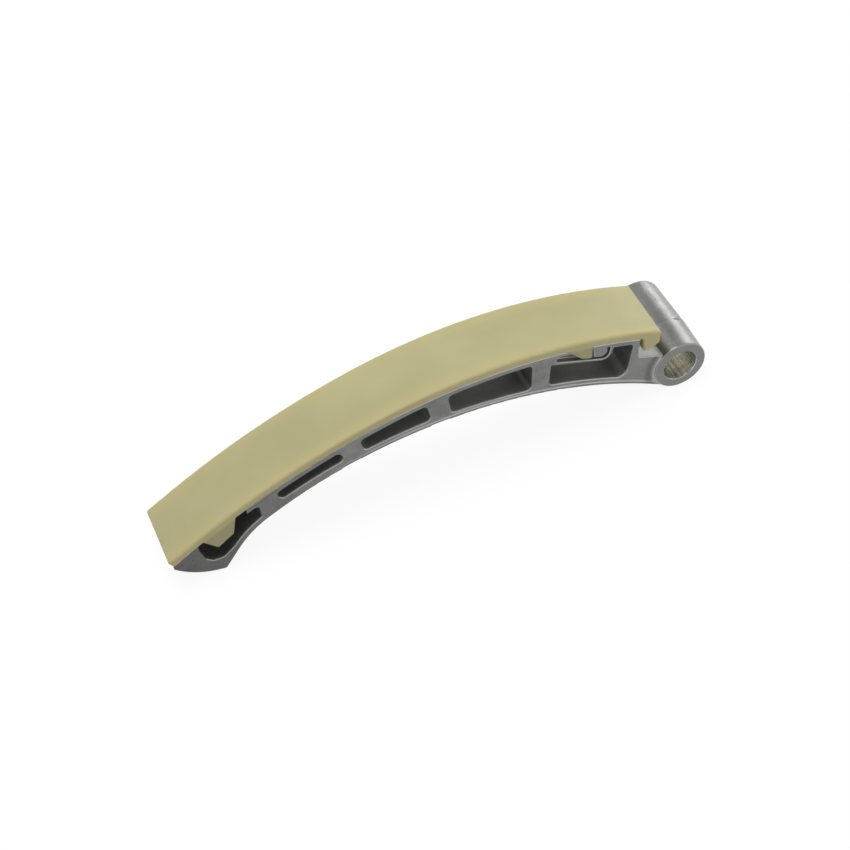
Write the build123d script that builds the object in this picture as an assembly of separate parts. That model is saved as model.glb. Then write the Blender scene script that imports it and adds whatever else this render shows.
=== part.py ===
from build123d import *
import os
from math import asin, cos, degrees, hypot, radians, sin, sqrt

# Timing chain guide: a die-cast arm that swings on a pin, with a moulded lining clipped over its
# arched top for the chain to run on. Sizes are in millimetres. The origin is the centre of the
# pivot bore in the middle plane of the chain track. Y runs along the bore and X from tail to pivot.

# Seat line that the lining lies on: two arcs that meet smoothly, a flatter one at the tail end
seat_join_x = -113.3
seat_join_z = 30.3
seat_join_lean = 10.3
tail_seat_radius = 270.0
pivot_seat_radius = 183.6

# Arm
arm_width = 26.1
tail_x = -195.0
arch_centre_x = -96.0
arch_centre_z = -139.6
top_flange = 2.6
web_thickness = 4.0
outline_round = 0.4
mouth_round = 0.6

# Ribs between the side pockets: where each starts and ends at the seat, counted from the tail
rib_sides = ((-160.6, -154.5), (-129.5, -121.7), (-95.8, -87.7), (-55.4, -48.0))
pocket_corner = 1.8

# Flange under each of the plain pockets, counted from the tail
lower_flanges = (3.6, 2.9, 2.6)

# Taper of every pocket wall towards the web
draft = 1.5

# Flats under the two middle ribs, where the ejector pins push
ejector_flat_width = 7.2
ejector_flat_depth = 0.5

# Tail: heel arc, straight heel, and the rounded nose pad that the tensioner pushes
heel_start_x = -158.0
heel_radius = 35.0
heel_slope = 49.5
foot_round = 0.8
nose_radius = 28.0
nose_tip_drop = 1.9

# Pivot boss: the casting is split in the middle plane, so it tapers both ways from there
bore_diameter = 13.0
boss_radius = 10.4
boss_draft = 1.2
boss_near_reach = 14.0
boss_far_reach = 23.6
boss_near_round = 0.5
boss_far_round = 1.6
bore_chamfer = 0.3

# Step and ledge between the end of the seat and the boss, where the lining hooks over
step_x = -14.3
step_lean = 9.0
ledge_drop = 8.9
ledge_corner = 1.5

# Tail pocket, and the slot over it where the tail clip tab passes the flange
tail_slot = (-184.8, -165.1)
tail_pocket_flange = 2.4
tail_pocket_wall_foot = (-183.4, -1.7)
tail_pocket_floor = ((-181.2, -3.9), (-177.3, -4.3))
tail_pocket_corner = 1.2

# Pocket next to the boss: its end wall leans over, and its flange is a little deeper
end_pocket_foot_x = -21.4
end_pocket_top_x = -17.2
end_pocket_flange = 3.1
end_pocket_round = 3.3

# Lug that hangs in the end pocket and holds the pivot clip tab, and the stop beside the tab
lug_start_drop = 3.6
lug_end_x = -27.5
lug_end_drop = 8.6
lug_return_x = -24.7
lug_round = 3.2
lug_rim = 0.95
lug_skin = 1.7
recess_inset = 1.2
recess_end_rim = 1.35
stop_width = 5.2
stop_drop = (5.5, 6.3)
stop_round = 2.2

# Lining
lining_width = 26.5
lining_thickness = 2.8
lining_round = 0.8
lining_end_round = 0.6
lining_pivot_end_x = -6.4
seat_gap = 0.05

# How far a cut runs on past the face that it starts from
edge_margin = 1.0

# Hook at the pivot end of the lining
hook_gap = 0.7
hook_reach = 6.8
hook_tip_width = 3.1
hook_end_drop = 5.1
hook_end_lean = 8.0
hook_round = 1.1

# Clip tabs of the lining: where the root and the foot start and end, and the drop at each foot
tab_thickness = 2.2
tab_gap = 0.25
tab_round = 0.5
tail_tab_root = (-182.6, -169.5)
tail_tab_foot = (-178.1, -171.6)
tail_tab_drop = (7.6, 6.5)
pivot_tab_root = (-42.5, -33.0)
pivot_tab_foot = (-37.2, -33.6)
pivot_tab_drop = (5.2, 5.6)


def polar(angle):
    """Unit vector in the side view, measured from straight up, positive towards the tail."""
    return (-sin(radians(angle)), cos(radians(angle)))


def arc_point(centre, radius, x):
    """Upper point of a circle at a given x."""
    return (x, centre[1] + sqrt(radius ** 2 - (x - centre[0]) ** 2))


def arc_between(centre, radius, start_x, end_x):
    """Arc along the top of a circle from one x to another."""
    start = arc_point(centre, radius, start_x)
    middle = arc_point(centre, radius, (start_x + end_x) / 2)
    end = arc_point(centre, radius, end_x)
    return ThreePointArc(start, middle, end)


join_normal = polar(seat_join_lean)
tail_seat_centre = (
    seat_join_x - join_normal[0] * tail_seat_radius,
    seat_join_z - join_normal[1] * tail_seat_radius,
)
pivot_seat_centre = (
    seat_join_x - join_normal[0] * pivot_seat_radius,
    seat_join_z - join_normal[1] * pivot_seat_radius,
)


def seat_point(x, lift):
    """Point on the seat line at x, lifted square to the line."""
    if x < seat_join_x + join_normal[0] * lift:
        return arc_point(tail_seat_centre, tail_seat_radius + lift, x)
    return arc_point(pivot_seat_centre, pivot_seat_radius + lift, x)


def seat_arcs(start_x, end_x, lift):
    """The seat line from one x to another, lifted square to itself, in one or two arcs."""
    join_x = seat_join_x + join_normal[0] * lift
    if end_x <= join_x:
        return [arc_between(tail_seat_centre, tail_seat_radius + lift, start_x, end_x)]
    if start_x >= join_x:
        return [arc_between(pivot_seat_centre, pivot_seat_radius + lift, start_x, end_x)]
    return [
        arc_between(tail_seat_centre, tail_seat_radius + lift, start_x, join_x),
        arc_between(pivot_seat_centre, pivot_seat_radius + lift, join_x, end_x),
    ]


def seat_lean(x):
    """Angle of the seat line's normal from straight up, positive towards the tail."""
    centre = tail_seat_centre if x < seat_join_x else pivot_seat_centre
    radius = tail_seat_radius if x < seat_join_x else pivot_seat_radius
    return -degrees(asin((x - centre[0]) / radius))


def below_seat(x, drop, lean=None):
    """Point reached by going down from the seat line at x, square to it unless told otherwise."""
    top = seat_point(x, 0)
    normal = polar(seat_lean(x) if lean is None else lean)
    return (top[0] - normal[0] * drop, top[1] - normal[1] * drop)


# The underside arc touches the boss, so its radius follows from where its centre is
arch_centre = (arch_centre_x, arch_centre_z)
arch_radius = hypot(arch_centre_x, arch_centre_z) - boss_radius
heel_lean = -degrees(asin((heel_start_x - arch_centre_x) / arch_radius))
heel_normal = polar(heel_lean)
heel_centre = (
    arch_centre_x + heel_normal[0] * (arch_radius - heel_radius),
    arch_centre_z + heel_normal[1] * (arch_radius - heel_radius),
)
foot_z = -boss_radius


def heel_end(lift):
    """Where the heel arc, lifted by a wall, turns into the straight heel."""
    normal = polar(heel_slope)
    radius = heel_radius + lift
    return (heel_centre[0] + normal[0] * radius, heel_centre[1] + normal[1] * radius)


def heel_foot(lift, level):
    """Where the straight heel, lifted by a wall, comes down to a level."""
    top = heel_end(lift)
    run = (top[1] - level) * cos(radians(heel_slope)) / sin(radians(heel_slope))
    return (top[0] - run, level)


def underside(end_x, lift, level):
    """The underside from the foot to end_x, lifted square to itself: heel, heel arc, long arc."""
    join_x = heel_centre[0] + heel_normal[0] * (heel_radius + lift)
    return [
        Line(heel_foot(lift, level), heel_end(lift)),
        arc_between(heel_centre, heel_radius + lift, heel_end(lift)[0], join_x),
        arc_between(arch_centre, arch_radius + lift, join_x, end_x),
    ]


def side_face(edges):
    """Closed face in the side view from a chain of edges."""
    return Plane.XZ * make_face(Curve() + edges)


def polygon_face(points):
    """Closed face in the side view from its corners."""
    return side_face([Polyline(*points, close=True)])


def across(face, width):
    """Side-view face pulled out to both sides of the middle plane."""
    return extrude(face, amount=width / 2, both=True)


def ledge_start():
    """Foot of the step at the end of the seat, where the ledge towards the boss begins."""
    fall = ledge_drop / cos(radians(step_lean))
    return below_seat(step_x, fall, seat_lean(step_x) + step_lean)


def arm_outline():
    """Side view of the arm from nose to boss, with the boss as a plain disc."""
    nose_tip = (tail_x, seat_point(tail_x, 0)[1] - nose_tip_drop)
    foot = heel_foot(0, foot_z)
    touch_x = arch_centre_x * boss_radius / hypot(arch_centre_x, arch_centre_z)
    ledge_x = ledge_start()[0]
    ledge_end_x = -boss_radius / 2
    outline = side_face(
        [
            Line(nose_tip, seat_point(tail_x, 0)),
            *seat_arcs(tail_x, step_x, 0),
            Line(seat_point(step_x, 0), seat_point(ledge_x, -ledge_drop)),
            *seat_arcs(ledge_x, ledge_end_x, -ledge_drop),
            Line(seat_point(ledge_end_x, -ledge_drop), arc_point(arch_centre, arch_radius, touch_x)),
            *underside(touch_x, 0, foot_z),
            RadiusArc(foot, nose_tip, nose_radius),
        ]
    )
    outline = round_corner(outline, foot, foot_round)
    outline = round_corner(outline, seat_point(ledge_x, -ledge_drop), ledge_corner)
    return outline


def round_corner(face, point, radius):
    """Round the corner of a side-view face that lies nearest to a point."""
    place = Vector(point[0], 0, point[1])
    corner = face.vertices().sort_by_distance(place)[0]
    return fillet(corner, radius)


def round_corners(face, points, radius):
    """Round several corners of a side-view face with one radius."""
    for point in points:
        face = round_corner(face, point, radius)
    return face


def pivot_boss():
    """Boss with its end faces, tapering both ways from the parting plane."""
    taper = sin(radians(boss_draft))
    near_rim = (boss_radius - boss_near_reach * taper, -boss_near_reach)
    far_rim = (boss_radius - boss_far_reach * taper, boss_far_reach)
    profile = make_face(
        Polyline((0, near_rim[1]), near_rim, (boss_radius, 0), far_rim, (0, far_rim[1]), close=True)
    )
    profile = fillet(profile.vertices().sort_by_distance(near_rim)[0], boss_near_round)
    profile = fillet(profile.vertices().sort_by_distance(far_rim)[0], boss_far_round)
    return revolve(profile, axis=Axis.Y)


def bore():
    """Through bore with a small chamfer at each mouth."""
    radius = bore_diameter / 2
    near = -boss_near_reach
    far = boss_far_reach
    profile = make_face(
        Polyline(
            (0, near),
            (radius + bore_chamfer, near),
            (radius, near + bore_chamfer),
            (radius, far - bore_chamfer),
            (radius + bore_chamfer, far),
            (0, far),
            close=True,
        )
    )
    return revolve(profile, axis=Axis.Y)


def flange_line_point(x, thickness):
    """Point at x on the inside of the lower flange."""
    return arc_point(arch_centre, arch_radius + thickness, x)


def flange_point_under(seat_x, thickness):
    """Point on the inside of the lower flange that lies square below a point of the seat."""
    top = seat_point(seat_x, 0)
    normal = polar(seat_lean(seat_x))
    offset = (top[0] - arch_centre[0], top[1] - arch_centre[1])
    along = offset[0] * normal[0] + offset[1] * normal[1]
    reach = sqrt(along ** 2 - hypot(*offset) ** 2 + (arch_radius + thickness) ** 2)
    return below_seat(seat_x, along - reach)


def plain_pocket(left, right, flange):
    """Side view of the space between the flanges, with end walls square to the seat."""
    tops = [below_seat(x, top_flange) for x in (left, right)]
    feet = [flange_point_under(x, flange) for x in (left, right)]
    pocket = side_face(
        [
            Line(feet[0], tops[0]),
            *seat_arcs(tops[0][0], tops[1][0], -top_flange),
            Line(tops[1], feet[1]),
            arc_between(arch_centre, arch_radius + flange, feet[0][0], feet[1][0]),
        ]
    )
    return round_corners(pocket, [*tops, *feet], pocket_corner)


def plain_pockets():
    """Side view of the three plain pockets, one between each pair of ribs."""
    pairs = zip(rib_sides, rib_sides[1:], lower_flanges)
    return [plain_pocket(before[1], after[0], flange) for before, after, flange in pairs]


def tail_pocket():
    """Side view of the pocket behind the tail tab, from the nose block to the first rib."""
    end_x = rib_sides[0][0]
    join_x = heel_centre[0] + heel_normal[0] * (heel_radius + tail_pocket_flange)
    top_left = seat_point(tail_slot[0], -top_flange)
    top_right = seat_point(end_x, -top_flange)
    wall_foot = tail_pocket_wall_foot
    floor_start = tail_pocket_floor[0]
    floor_end = tail_pocket_floor[1]
    pocket = side_face(
        [
            Line(top_left, wall_foot),
            Line(wall_foot, floor_start),
            Line(floor_start, floor_end),
            Line(floor_end, heel_end(tail_pocket_flange)),
            arc_between(heel_centre, heel_radius + tail_pocket_flange, heel_end(tail_pocket_flange)[0], end_x),
            Line(arc_point(heel_centre, heel_radius + tail_pocket_flange, end_x), top_right),
            *seat_arcs(tail_slot[0], end_x, -top_flange),
        ]
    )
    corners = [wall_foot, floor_start, floor_end, top_right]
    corners.append(arc_point(heel_centre, heel_radius + tail_pocket_flange, end_x))
    return round_corners(pocket, corners, tail_pocket_corner)


def end_pocket():
    """Side view of the pocket next to the boss, as if the lug in it weren't there."""
    left = rib_sides[-1][1]
    foot = flange_line_point(end_pocket_foot_x, end_pocket_flange)
    top = seat_point(end_pocket_top_x, -top_flange)
    start = flange_point_under(left, end_pocket_flange)
    start_top = below_seat(left, top_flange)
    pocket = side_face(
        [
            Line(start, start_top),
            *seat_arcs(start_top[0], end_pocket_top_x, -top_flange),
            Line(top, foot),
            arc_between(arch_centre, arch_radius + end_pocket_flange, start[0], end_pocket_foot_x),
        ]
    )
    pocket = round_corners(pocket, [start, top], pocket_corner)
    return round_corners(pocket, [foot], end_pocket_round)


def lug_face():
    """Side view of the lug under the top flange that holds the pivot tab. It starts in the rib."""
    start_x = rib_sides[-1][0]
    tip = below_seat(lug_end_x, lug_end_drop, 0)
    lug = polygon_face(
        [
            seat_point(start_x, -lug_skin),
            below_seat(start_x, lug_start_drop, 0),
            tip,
            seat_point(lug_return_x, -top_flange),
            seat_point(lug_return_x, -lug_skin),
        ]
    )
    return round_corners(lug, [tip], lug_round)


def tab_face(root, foot, drop, clearance):
    """Side view of a clip tab, or with a clearance, of the slot that it passes through."""
    return polygon_face(
        [
            seat_point(root[0] - clearance, lining_thickness / 2),
            seat_point(root[0] - clearance, 0),
            below_seat(foot[0] - clearance, drop[0] + clearance, 0),
            below_seat(foot[1] + clearance, drop[1] + clearance, 0),
            seat_point(root[1] + clearance, 0),
            seat_point(root[1] + clearance, lining_thickness / 2),
        ]
    )


def lug_recess():
    """Side view of the recess in the lug: the lug inside its rim, less the stop beside the tab."""
    rib_start, rib_end = rib_sides[-1]
    lug_slope = (lug_end_drop - lug_start_drop) / (lug_end_x - rib_start)
    start_x = rib_end + recess_inset
    start_drop = lug_start_drop + (start_x - rib_start) * lug_slope - lug_rim
    end_x = lug_return_x - recess_end_rim
    lower_left = below_seat(start_x, start_drop, 0)
    lower_right = below_seat(lug_end_x, lug_end_drop - lug_rim, 0)
    recess = side_face(
        [
            Line(lower_right, lower_left),
            Line(lower_left, seat_point(start_x, -lug_skin)),
            *seat_arcs(start_x, end_x, -lug_skin),
            Line(seat_point(end_x, -lug_skin), lower_right),
        ]
    )
    recess = round_corners(recess, [lower_right], lug_round - lug_rim)
    stop_start = pivot_tab_root[1] + tab_gap
    stop_end = stop_start + stop_width
    stop_foot = below_seat(stop_end, stop_drop[1], 0)
    stop = polygon_face(
        [
            seat_point(stop_start, 0),
            below_seat(stop_start, stop_drop[0], 0),
            stop_foot,
            seat_point(stop_end, 0),
        ]
    )
    stop = round_corners(stop, [stop_foot], stop_round)
    slot = tab_face(pivot_tab_root, pivot_tab_foot, pivot_tab_drop, tab_gap)
    return recess - stop + slot


def both_sides(face, half_width, depth, taper=0.0):
    """Side-view face sunk from both side planes towards the middle."""
    near = extrude(Pos(0, -half_width, 0) * face, amount=depth, dir=(0, 1, 0), taper=taper)
    return near + mirror(near, about=Plane.XZ)


def ejector_flats():
    """Shallow flats across the underside of the two middle ribs."""
    half = ejector_flat_width / 2
    faces = []
    for rib_start, rib_end in rib_sides[1:-1]:
        centre = (rib_start + rib_end) / 2
        left = flange_line_point(centre - half, ejector_flat_depth)
        right = flange_line_point(centre + half, ejector_flat_depth)
        flat = arc_between(arch_centre, arch_radius + ejector_flat_depth, left[0], right[0])
        clear_of_arm = min(left[1], right[1]) - ejector_flat_depth - edge_margin
        sides = Polyline(right, (right[0], clear_of_arm), (left[0], clear_of_arm), left)
        faces.append(side_face([flat, sides]))
    return faces


def tail_slot_face():
    """Side view of the slot cut down through the top flange for the tail tab."""
    start, end = tail_slot
    return polygon_face(
        [
            seat_point(start, edge_margin),
            seat_point(start, -top_flange - edge_margin),
            seat_point(end, -top_flange - edge_margin),
            seat_point(end, edge_margin),
        ]
    )


def round_mouths(arm):
    """Round the mouth of each pocket in turn, first on the near side and then on the far side."""
    for side in (0, -1):
        mouths = len(arm.faces().sort_by(Axis.Y)[side].inner_wires())
        for place in range(mouths):
            face = arm.faces().sort_by(Axis.Y)[side]
            mouth = face.inner_wires().sort_by(Axis.X)[place]
            arm = arm.fillet(mouth_round, mouth.edges())
    return arm


def outline_chain(arm, upper):
    """Outline edges of the two side planes, clear of the boss: those by the seat, or the others."""
    faces = arm.faces().sort_by(Axis.Y)
    chain = []
    for edge in faces[0].outer_wire().edges() + faces[-1].outer_wire().edges():
        middle = edge @ 0.5
        by_seat = middle.Z > seat_point(middle.X, -ledge_drop * 0.6)[1]
        if by_seat == upper and hypot(middle.X, middle.Z) > boss_radius:
            chain.append(edge)
    return chain


def carrier_arm():
    """The casting: arm with pockets on both sides of a middle web, and the bored boss."""
    half = arm_width / 2
    depth = half - web_thickness / 2
    wide_cut = arm_width + 2 * edge_margin
    arm = across(arm_outline(), arm_width)
    for face in [*plain_pockets(), tail_pocket()]:
        arm -= both_sides(face, half, depth, draft)
    arm -= both_sides(end_pocket(), half, depth, draft) - across(lug_face(), wide_cut)
    arm = round_mouths(arm)
    for upper in (False, True):
        arm = arm.fillet(outline_round, outline_chain(arm, upper))
    for face in ejector_flats():
        arm -= across(face, wide_cut)
    recess_depth = tab_thickness + tab_gap - (lining_width - arm_width) / 2
    for face in [tail_slot_face(), lug_recess()]:
        arm -= both_sides(face, half, recess_depth)
    return arm + pivot_boss() - bore()


def lining_outline():
    """Side view of the lining: an even strip along the seat that ends in a hook over the step."""
    top_start = below_seat(tail_x, -lining_thickness)
    hook_x = step_x + hook_gap
    root = seat_point(hook_x, seat_gap)
    top_end = seat_point(lining_pivot_end_x, lining_thickness)
    end_run = hook_end_drop * sin(radians(hook_end_lean))
    end_foot = (lining_pivot_end_x - end_run, top_end[1] - hook_end_drop)
    tip_z = root[1] - hook_reach
    outline = side_face(
        [
            Line(below_seat(tail_x, -seat_gap), top_start),
            *seat_arcs(top_start[0], lining_pivot_end_x, lining_thickness),
            Line(top_end, end_foot),
            Line(end_foot, (hook_x + hook_tip_width, tip_z)),
            Line((hook_x + hook_tip_width, tip_z), (hook_x, tip_z)),
            Line((hook_x, tip_z), root),
            *seat_arcs(below_seat(tail_x, -seat_gap)[0], hook_x, seat_gap),
        ]
    )
    outline = round_corners(outline, [top_start, top_end], lining_end_round)
    tips = [end_foot, (hook_x + hook_tip_width, tip_z)]
    outline = round_corners(outline, tips, hook_round)
    return round_corners(outline, [(hook_x, tip_z)], hook_round / 2)


def on_running_face(edge):
    """True for an edge that borders the running face of the lining, and not its underside."""
    middle = edge @ 0.5
    lifted = seat_point(middle.X, lining_thickness / 2)
    return middle.Z > lifted[1]


def slide_lining():
    """The moulding: strip and hook across the whole track, with two clip tabs down each side."""
    half = lining_width / 2
    strip = across(lining_outline(), lining_width)
    sides = strip.edges().filter_by(lambda e: abs(abs((e @ 0.5).Y) - half) < 0.01)
    strip = fillet(sides.filter_by(on_running_face), lining_round)
    tabs = [
        (tail_tab_root, tail_tab_foot, tail_tab_drop),
        (pivot_tab_root, pivot_tab_foot, pivot_tab_drop),
    ]
    for root, foot, drop in tabs:
        face = tab_face(root, foot, drop, 0.0)
        feet = [below_seat(foot[0], drop[0], 0), below_seat(foot[1], drop[1], 0)]
        face = round_corners(face, feet, tab_round)
        strip += both_sides(face, half, tab_thickness)
    return strip


os.makedirs("parts", exist_ok=True)
export_step(carrier_arm(), "parts/carrier_arm.step")
export_step(slide_lining(), "parts/slide_lining.step")
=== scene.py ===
import math

import bpy
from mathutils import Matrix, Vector


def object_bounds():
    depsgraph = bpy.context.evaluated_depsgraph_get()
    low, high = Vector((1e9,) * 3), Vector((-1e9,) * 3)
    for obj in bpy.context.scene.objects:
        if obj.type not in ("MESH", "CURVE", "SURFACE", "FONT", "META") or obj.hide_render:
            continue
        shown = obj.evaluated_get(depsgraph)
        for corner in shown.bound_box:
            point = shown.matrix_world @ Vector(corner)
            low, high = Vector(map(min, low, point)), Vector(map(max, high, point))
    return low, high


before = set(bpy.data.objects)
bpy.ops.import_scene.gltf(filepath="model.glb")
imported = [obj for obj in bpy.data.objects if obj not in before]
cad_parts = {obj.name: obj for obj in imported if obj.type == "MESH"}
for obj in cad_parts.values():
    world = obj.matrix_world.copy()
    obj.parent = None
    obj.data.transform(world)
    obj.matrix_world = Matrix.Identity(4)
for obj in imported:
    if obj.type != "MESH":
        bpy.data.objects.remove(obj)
cad_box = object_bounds()

# Carrier arm: one aluminium die casting. The die leaves grain, cloudy flow patches, drag marks
# and a parting seam on the boss, and its rims are rubbed bright. The bore and the boss's end
# faces are machined. Painted light is laid into its colour too: highlights on the rims, lips,
# seat edge, upward faces and arch, paler webs in the pockets, and painted shade on the sides,
# beside the boss and towards the tail. Sizes on a surface are in millimetres, in the frame of
# the imported model.
millimetre = 0.001
bore_edge = 6.6
boss_radius = 10.4
boss_skin = (10.6, 11.5)
boss_ends = (-14.0, 23.6)
web_reach = (2.1, 4.0)
rim_radius = 0.9
arch_centre = Vector((-96.0, 0.0, -139.6))
arch_radius = arch_centre.length - boss_radius
seat_join = Vector((-113.3, 0.0, 30.3))
seat_join_lean = math.radians(10.3)
seat_radii = (270.0, 183.6)
turning_pitch = 0.35


class Wire:
    """Output socket of a shader node. Arithmetic on it adds Math nodes beside it."""

    def __init__(self, finish, socket):
        self.finish = finish
        self.socket = socket

    def maths(self, operation, *values):
        numbered = dict(enumerate(values))
        return self.finish.node("ShaderNodeMath", {"operation": operation}, numbered)

    def __add__(self, other):
        return self.maths("ADD", self, other)

    def __radd__(self, other):
        return self.maths("ADD", other, self)

    def __sub__(self, other):
        return self.maths("SUBTRACT", self, other)

    def __rsub__(self, other):
        return self.maths("SUBTRACT", other, self)

    def __mul__(self, other):
        return self.maths("MULTIPLY", self, other)

    def __rmul__(self, other):
        return self.maths("MULTIPLY", other, self)

    def __truediv__(self, other):
        return self.maths("DIVIDE", self, other)

    def __rtruediv__(self, other):
        return self.maths("DIVIDE", other, self)

    def __pow__(self, other):
        return self.maths("POWER", self, other)

    def __abs__(self):
        return self.maths("ABSOLUTE", self)

    def part(self, name):
        """Another output of the same node."""
        return Wire(self.finish, self.socket.node.outputs[name])

    def ramp(self, low, high):
        """0 at low, 1 at high, smooth between them and level beyond."""
        settings = {"interpolation_type": "SMOOTHSTEP"}
        values = {"Value": self, "From Min": low, "From Max": high}
        return self.finish.node("ShaderNodeMapRange", settings, values)

    def band(self, start, full, last, end):
        """1 from full to last, and 0 before start and past end."""
        return self.ramp(start, full) * (1 - self.ramp(last, end))


class Finish:
    """A material or a world whose nodes are added one at a time."""

    def __init__(self, owner):
        owner.use_nodes = True
        self.owner = owner
        self.nodes = owner.node_tree.nodes
        self.links = owner.node_tree.links
        self.nodes.clear()

    def node(self, kind, settings=None, sockets=None, output=0):
        """Add a node: its settings come first, then values or links of its sockets."""
        node = self.nodes.new(kind)
        for name, value in (settings or {}).items():
            setattr(node, name, value)
        for key, value in (sockets or {}).items():
            if isinstance(value, Wire):
                self.links.new(value.socket, node.inputs[key])
            else:
                node.inputs[key].default_value = value
        return Wire(self, node.outputs[output]) if node.outputs else None

    def position(self):
        """Place on the object in metres, then its X, Y and Z in millimetres."""
        place = self.node("ShaderNodeTexCoord", {}, {}, "Object")
        axes = self.node("ShaderNodeSeparateXYZ", {}, {0: place})
        return place, *[axes.part(name) / millimetre for name in "XYZ"]

    def noise(self, place, cell, detail, roughness=0.5, stretch=None):
        """Noise from 0 to 1 with cells of about that many millimetres."""
        if stretch:
            settings = {"operation": "MULTIPLY"}
            place = self.node("ShaderNodeVectorMath", settings, {0: place, 1: stretch})
        scale = 1 / (cell * millimetre)
        values = {"Vector": place, "Scale": scale, "Detail": detail, "Roughness": roughness}
        return self.node("ShaderNodeTexNoise", {"noise_dimensions": "3D"}, values)

    def softened(self, radius):
        """Normal rounded over the edges by a radius, and how much it turns there."""
        rounded = self.node("ShaderNodeBevel", {"samples": 8}, {"Radius": radius * millimetre})
        plain = self.node("ShaderNodeNewGeometry", {}, {}, "Normal")
        settings = {"operation": "DOT_PRODUCT"}
        agreement = self.node("ShaderNodeVectorMath", settings, {0: rounded, 1: plain}, "Value")
        return rounded, 1 - agreement

    def tint(self, amount, first, second):
        """Two colours mixed by an amount."""
        first = first if isinstance(first, Wire) else (*first, 1.0)
        second = second if isinstance(second, Wire) else (*second, 1.0)
        return self.node("ShaderNodeMix", {"data_type": "RGBA"}, {0: amount, 6: first, 7: second}, 2)

    def coated(self, tone, coats):
        """Lay coats over a tone, each a mask, the share of it that shows, and a colour."""
        for mask, share, colour in coats:
            tone = self.tint(mask * share, tone, colour)
        return tone

    def bump(self, height, depth, normal):
        """Normal changed by a height of 0 to 1 that stands for a depth in millimetres."""
        values = {"Height": height, "Distance": depth * millimetre, "Strength": 1.0, "Normal": normal}
        return self.node("ShaderNodeBump", {}, values)

    def surface(self, sockets):
        shader = self.node("ShaderNodeBsdfPrincipled", {}, sockets)
        self.node("ShaderNodeOutputMaterial", {}, {"Surface": shader})
        return self.owner


def distance(run, rise):
    return (run ** 2 + rise ** 2) ** 0.5


def below_seat(along, height):
    """Depth below the lining's seat, whose line is two arcs that meet at seat_join."""
    out = Vector((-math.sin(seat_join_lean), 0.0, math.cos(seat_join_lean)))
    depths = []
    for radius in seat_radii:
        centre = seat_join - out * radius
        depths.append(radius - distance(along - centre.x, height - centre.z))
    by_pivot = along.ramp(seat_join.x - 1, seat_join.x + 1)
    return depths[0] * (1 - by_pivot) + depths[1] * by_pivot


def assign(node_name, material):
    for material_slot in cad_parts[node_name].material_slots:
        material_slot.material = material


alloy = Finish(bpy.data.materials.new("cast_alloy"))
place, along, across, height = alloy.position()
true_normal = alloy.node("ShaderNodeNewGeometry", {}, {}, "True Normal")
facing = alloy.node("ShaderNodeSeparateXYZ", {}, {0: true_normal})
sideways = abs(facing.part("Y"))
upward = facing.part("Z").ramp(0.25, 0.75)

clouds = alloy.noise(place, 14, 4, 0.6)
patches = alloy.noise(place, 4, 3, 0.55, (0.6, 1.0, 1.0))
grain = alloy.noise(place, 0.45, 2, 0.6)
pits = alloy.noise(place, 1.3, 1).ramp(0.68, 0.78)
drag_marks = alloy.noise(place, 0.5, 2, 0.5, (1.0, 1.0, 0.12)).ramp(0.5, 0.75)

# Regions of the casting, each a mask from 0 to 1
from_bore = distance(along, height)
in_bore = 1 - from_bore.ramp(bore_edge - 0.05, bore_edge)
on_boss = 1 - from_bore.ramp(*boss_skin)
off_boss = 1 - on_boss
on_side = sideways.ramp(0.85, 0.97) * off_boss
on_web = (1 - abs(across).ramp(*web_reach)) * sideways.ramp(0.4, 0.7) * off_boss
near_end = 1 - across.ramp(boss_ends[0] + 0.1, boss_ends[0] + 0.3)
far_end = across.ramp(boss_ends[1] - 0.3, boss_ends[1] - 0.1)
machined_end = sideways.ramp(0.9, 0.97) * (near_end + far_end)
# Painted shade, darker towards the tail
tail_shade = 1 - along.ramp(-200, -120)

# Painted highlights on the rims, which are also rubbed bright, on the lips of the pockets, and on the edge
# of the seat under the lining
rounded, turned = alloy.softened(rim_radius)
rim_wear_and_highlight = turned.ramp(0.01, 0.12) * from_bore.ramp(7, 9)
lip_highlight = sideways.band(0.2, 0.4, 0.8, 0.95) * facing.part("Z").ramp(0.1, 0.5) * off_boss
seat_edge_highlight = below_seat(along, height).band(0.0, 0.1, 0.45, 0.75) * along.ramp(-135, -95) * on_side

# The sides turn under along the arch: a painted highlight line where they begin to, and a hem of painted
# shade
above_arch = distance(along - arch_centre.x, height - arch_centre.z) - arch_radius
arch_side = on_side * along.ramp(-145, -95)
arch_highlight_line = arch_side * above_arch.band(0.9, 1.3, 1.5, 2.1)
arch_shade_hem = arch_side * above_arch.band(-0.5, 0.0, 0.9, 1.3)
# Painted shade in the crease where the side meets the boss
neck_shade = on_side * from_bore.band(11.2, 12.0, 12.6, 15.0) * patches.ramp(0.2, 0.4)

# Drawing marks along the bore and turning marks on the end faces
angle = height.maths("ARCTAN2", height, along)
unrolled = alloy.node("ShaderNodeCombineXYZ", {}, {0: angle * 3, 1: across * 0.012, 2: 0.0})
drawing = alloy.node("ShaderNodeTexNoise", {}, {"Vector": unrolled, "Scale": 2.2, "Detail": 4.0})
bore_tone = alloy.tint(drawing.ramp(0.42, 0.62), (0.94, 0.93, 0.86), (0.55, 0.54, 0.48))
turning_phase = from_bore * (2 * math.pi / turning_pitch)
turning = turning_phase.maths("SINE", turning_phase)

# Parting seam round the boss in the middle plane, with the nick where its flash broke off
boss_skin_only = on_boss * (1 - in_bore)
seam = (1 - abs(across).ramp(0.08, 0.3)) * boss_skin_only
ragged_offset = (patches - 0.5) * 2.5
nick = (1 - abs(across + ragged_offset).ramp(0.3, 0.6)) * boss_skin_only * angle.band(0.8, 0.85, 1.05, 1.15)

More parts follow.
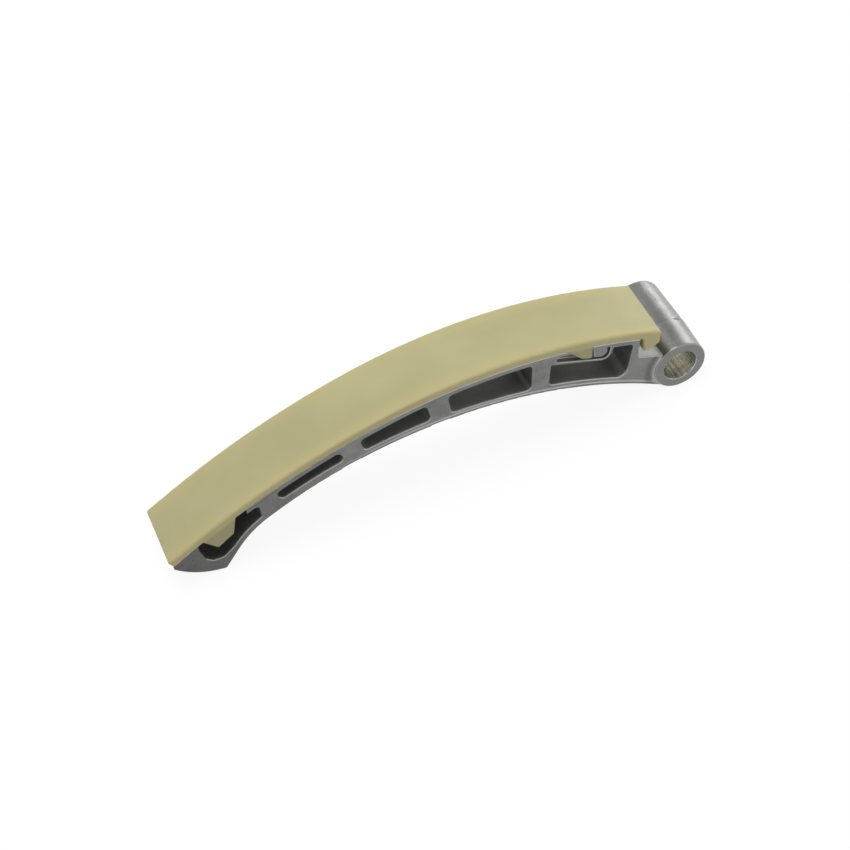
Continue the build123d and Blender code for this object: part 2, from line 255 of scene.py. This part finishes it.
cast_skin = alloy.tint(clouds.ramp(0.3, 0.7), (0.20, 0.20, 0.19), (0.28, 0.28, 0.265))
casting_tone = alloy.coated(
    cast_skin,
    (
        (patches.ramp(0.35, 0.65), 0.40, (0.37, 0.37, 0.355)),
        (pits, 0.50, (0.09, 0.09, 0.085)),
        (grain.ramp(0.45, 0.7), 0.30, (0.12, 0.12, 0.115)),
        (drag_marks, 0.25, (0.42, 0.42, 0.40)),
        # rims: partly rubbed wear, partly painted highlight, brightest where they face upwards
        (rim_wear_and_highlight, 0.55, (0.60, 0.60, 0.58)),
        (rim_wear_and_highlight * upward, 0.70, (0.88, 0.88, 0.86)),
        # painted light: faces turned upwards are lighter
        (upward * off_boss, 0.35, (0.60, 0.60, 0.58)),
        # painted shade: the side faces are darker
        (on_side, 0.25, (0.09, 0.09, 0.085)),
        # painted highlight line and painted shade hem along the arch
        (arch_highlight_line, 0.55, (0.66, 0.66, 0.64)),
        (arch_shade_hem, 0.35, (0.14, 0.14, 0.135)),
        # painted highlight along the edge of the seat
        (seat_edge_highlight, 0.60, (0.72, 0.72, 0.70)),
        # painted shade beside the boss
        (neck_shade, 0.55, (0.09, 0.09, 0.085)),
        # painted light: the webs inside the pockets are paler than the sides
        (on_web, 0.75, (0.44, 0.455, 0.42)),
        (on_boss, 0.25, (0.44, 0.44, 0.425)),
        (machined_end, 0.80, (0.18, 0.18, 0.172)),
        # painted shade towards the tail
        (tail_shade, 0.60, (0.05, 0.05, 0.048)),
        # painted highlight on the lips of the pockets
        (lip_highlight, 0.35, (0.80, 0.80, 0.78)),
        (in_bore, 1.00, bore_tone),
        (seam, 0.30, (0.10, 0.10, 0.10)),
        (nick, 0.70, (0.05, 0.05, 0.05)),
    ),
)
casting_normal = alloy.bump(grain * (1 - in_bore) * (1 - machined_end), 0.08, rounded)
casting_normal = alloy.bump(patches, 0.25, casting_normal)
casting_normal = alloy.bump(turning * machined_end, 0.01, casting_normal)
casting_normal = alloy.bump(drawing * in_bore, 0.1, casting_normal)
casting_roughness = 0.5 - rim_wear_and_highlight * 0.1 - in_bore * 0.15 - on_boss * 0.18 + (grain - 0.5) * 0.15
cast_alloy = alloy.surface(
    {
        "Base Color": casting_tone,
        "Metallic": 0.8,
        "Roughness": casting_roughness,
        "Normal": casting_normal,
    }
)
assign("carrier_arm", cast_alloy)

# Slide lining: one polyamide moulding, clipped over the seat. Natural cream, satin where the
# mould was polished, slightly cloudy. Painted light makes it yellower and lighter towards its
# long edges, where they glow, and a painted highlight makes it palest on the rims. Its clip tabs
# hang below the seat line and are darkened with painted shade.
lining_rim_radius = 1.5
lining_shoulder = (7, 12.5)
hook_start = (-20, -18)

nylon = Finish(bpy.data.materials.new("moulded_lining"))
place, along, across, height = nylon.position()
clouds = nylon.noise(place, 30, 3)
flow_lines = nylon.noise(place, 6, 3, 0.5, (0.25, 1.0, 1.0))
grain = nylon.noise(place, 0.35, 2)
rounded, turned = nylon.softened(lining_rim_radius)
# Painted shade on the clip tabs below the seat line
tab_shade = below_seat(along, height).ramp(-0.2, 1.2) * (1 - along.ramp(*hook_start))

strip_tone = nylon.tint(clouds.ramp(0.3, 0.7), (0.575, 0.53, 0.275), (0.635, 0.59, 0.325))
lining_tone = nylon.coated(
    strip_tone,
    (
        (flow_lines.ramp(0.3, 0.8), 0.30, (0.60, 0.545, 0.28)),
        # painted light: yellower and lighter towards the long edges
        (abs(across).ramp(*lining_shoulder), 0.60, (0.69, 0.61, 0.29)),
        # painted highlight on the rounded rims
        (turned.ramp(0.0, 0.2), 0.50, (0.76, 0.71, 0.42)),
        # painted shade on the clip tabs
        (tab_shade, 0.50, (0.34, 0.32, 0.19)),
    ),
)
moulded_lining = nylon.surface(
    {
        "Base Color": lining_tone,
        "Roughness": 0.45 + (grain - 0.5) * 0.1,
        "Specular IOR Level": 0.4,
        "Subsurface Weight": 0.15,
        "Subsurface Radius": (0.004, 0.003, 0.0015),
        "Subsurface Scale": 0.5,
        "Normal": nylon.bump(grain, 0.015, rounded),
    }
)
assign("slide_lining", moulded_lining)

# Floor: a plain pale sheet under the guide's foot and boss. It shows white to the camera and to
# reflections, and keeps a soft shadow.
floor_side = 6.0
floor_middle_x = -0.1
bpy.ops.mesh.primitive_plane_add(size=floor_side, location=(floor_middle_x, 0.0, cad_box[0][2]))
floor = bpy.context.object
floor.name = "floor"

paper = Finish(bpy.data.materials.new("floor_paper"))
camera_ray = paper.node("ShaderNodeLightPath", {}, {}, "Is Camera Ray")
shown = (camera_ray + camera_ray.part("Is Glossy Ray") + camera_ray.part("Is Transmission Ray")).ramp(0, 1)
pale_grey = paper.node("ShaderNodeBsdfDiffuse", {}, {"Color": (0.6, 0.6, 0.6, 1.0)})
shadow_catch = paper.node("ShaderNodeBsdfDiffuse", {}, {"Color": (0.15, 0.15, 0.15, 1.0)})
white = paper.node("ShaderNodeEmission", {}, {"Color": (1.0, 1.0, 1.0, 1.0), "Strength": 0.9})
white_with_shadow = paper.node("ShaderNodeAddShader", {}, {0: shadow_catch, 1: white})
sheet = paper.node("ShaderNodeMixShader", {}, {0: shown, 1: pale_grey, 2: white_with_shadow})
paper.node("ShaderNodeOutputMaterial", {}, {"Surface": sheet})
floor.data.materials.append(paper.owner)

# Studio: a pale room whose white backdrop rises round the guide to a dim ceiling, which only
# reflections show, with a large soft lamp overhead, one at the pivot end and a weak one low
# in front. The height of the backdrop is the sine of its elevation.
backdrop_top = 0.44
ceiling_dimming = 0.56
fill_light = 0.36

room = Finish(bpy.data.worlds.new("studio_room"))
bpy.context.scene.world = room.owner
direction = room.node("ShaderNodeTexCoord", {}, {}, "Generated")
skyward = room.node("ShaderNodeSeparateXYZ", {}, {0: direction}, "Z")
ceiling = skyward.ramp(backdrop_top - 0.04, backdrop_top + 0.04)
camera_ray = room.node("ShaderNodeLightPath", {}, {}, "Is Camera Ray")
seen = camera_ray + camera_ray.part("Is Transmission Ray")
mirrored = camera_ray.part("Is Glossy Ray")
lighting = 1 - (seen + mirrored).ramp(0, 1)
strength = seen + mirrored * (1 - ceiling * ceiling_dimming) + lighting * fill_light
glow = room.node("ShaderNodeBackground", {}, {"Color": (1.0, 1.0, 1.0, 1.0), "Strength": strength})
room.node("ShaderNodeOutputWorld", {}, {"Surface": glow})

guide_middle = Vector((-0.095, 0.0, 0.012))


def soft_lamp(name, towards, distance_away, side, power):
    light = bpy.data.lights.new(name, "AREA")
    light.shape = "SQUARE"
    light.size = side
    light.energy = power
    lamp = bpy.data.objects.new(name, light)
    bpy.context.scene.collection.objects.link(lamp)
    lamp.location = guide_middle + Vector(towards).normalized() * distance_away
    lamp.rotation_euler = (guide_middle - lamp.location).to_track_quat("-Z", "Y").to_euler()


soft_lamp("high_lamp", (-0.1, 0.1, 1.0), 0.9, 0.6, 3.6)
soft_lamp("pivot_lamp", (1.0, 0.6, 0.3), 0.7, 0.3, 0.6)
soft_lamp("front_lamp", (0.9, -1.0, 0.35), 0.45, 0.25, 0.12)

# Camera: above the near side, tilted down and rolled so that the guide rises to the right.
# Its shift is one pixel each way in a picture 850 pixels wide.
pixel = 1 / 850
camera_data = bpy.data.cameras.new("camera")
camera_data.sensor_width = 36.0
camera_data.lens = 81.888
camera_data.shift_x = -pixel
camera_data.shift_y = pixel
camera_data.clip_start = 0.01
camera = bpy.data.objects.new("camera", camera_data)
bpy.context.scene.collection.objects.link(camera)
camera.location = (-0.2066, -0.4359, 0.5255)
camera.rotation_euler = [math.radians(angle) for angle in (40.359, 7.102, -22.779)]
bpy.context.scene.camera = camera
bpy.context.scene.view_settings.view_transform = "Standard"
